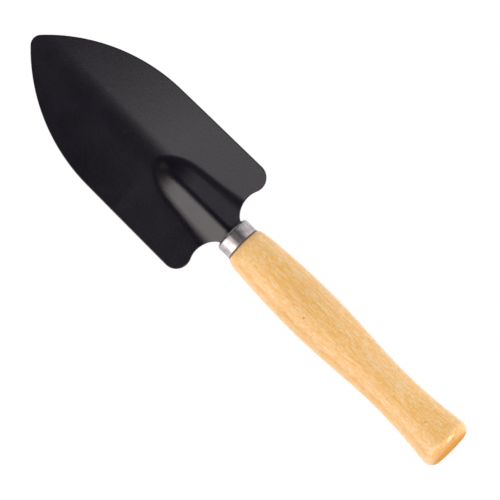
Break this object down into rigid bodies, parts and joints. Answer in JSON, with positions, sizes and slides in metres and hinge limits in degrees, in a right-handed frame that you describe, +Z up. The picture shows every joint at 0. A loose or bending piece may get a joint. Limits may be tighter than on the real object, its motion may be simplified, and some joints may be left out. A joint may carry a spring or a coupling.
{
  "type": "garden trowel",
  "caption": "Hand trowel with a pointed, ribbed steel blade, a plated ferrule and a turned wooden handle, lying on its back.",
  "frame": {"origin": "on the surface the trowel lies on, under the middle of its whole length and width", "axes": "+X along the tool from the butt to the tip, +Y to the left when looking from the butt to the tip, +Z up out of the blade's hollow side"},
  "size_m": [0.2801, 0.0656, 0.0388],
  "materials": {
    "blade": "black powder coat on pressed sheet steel, satin",
    "ferrule": "bright nickel plate, lightly brushed round the axis",
    "handle": "pale turned hardwood under clear satin varnish",
    "ferrule_pin": "bright steel nail"
  },
  "bodies": {
    "root": {"blade": "blade", "ferrule": "ferrule", "handle": "handle", "ferrule_pin": "ferrule_pin"}
  },
  "joints": []
}
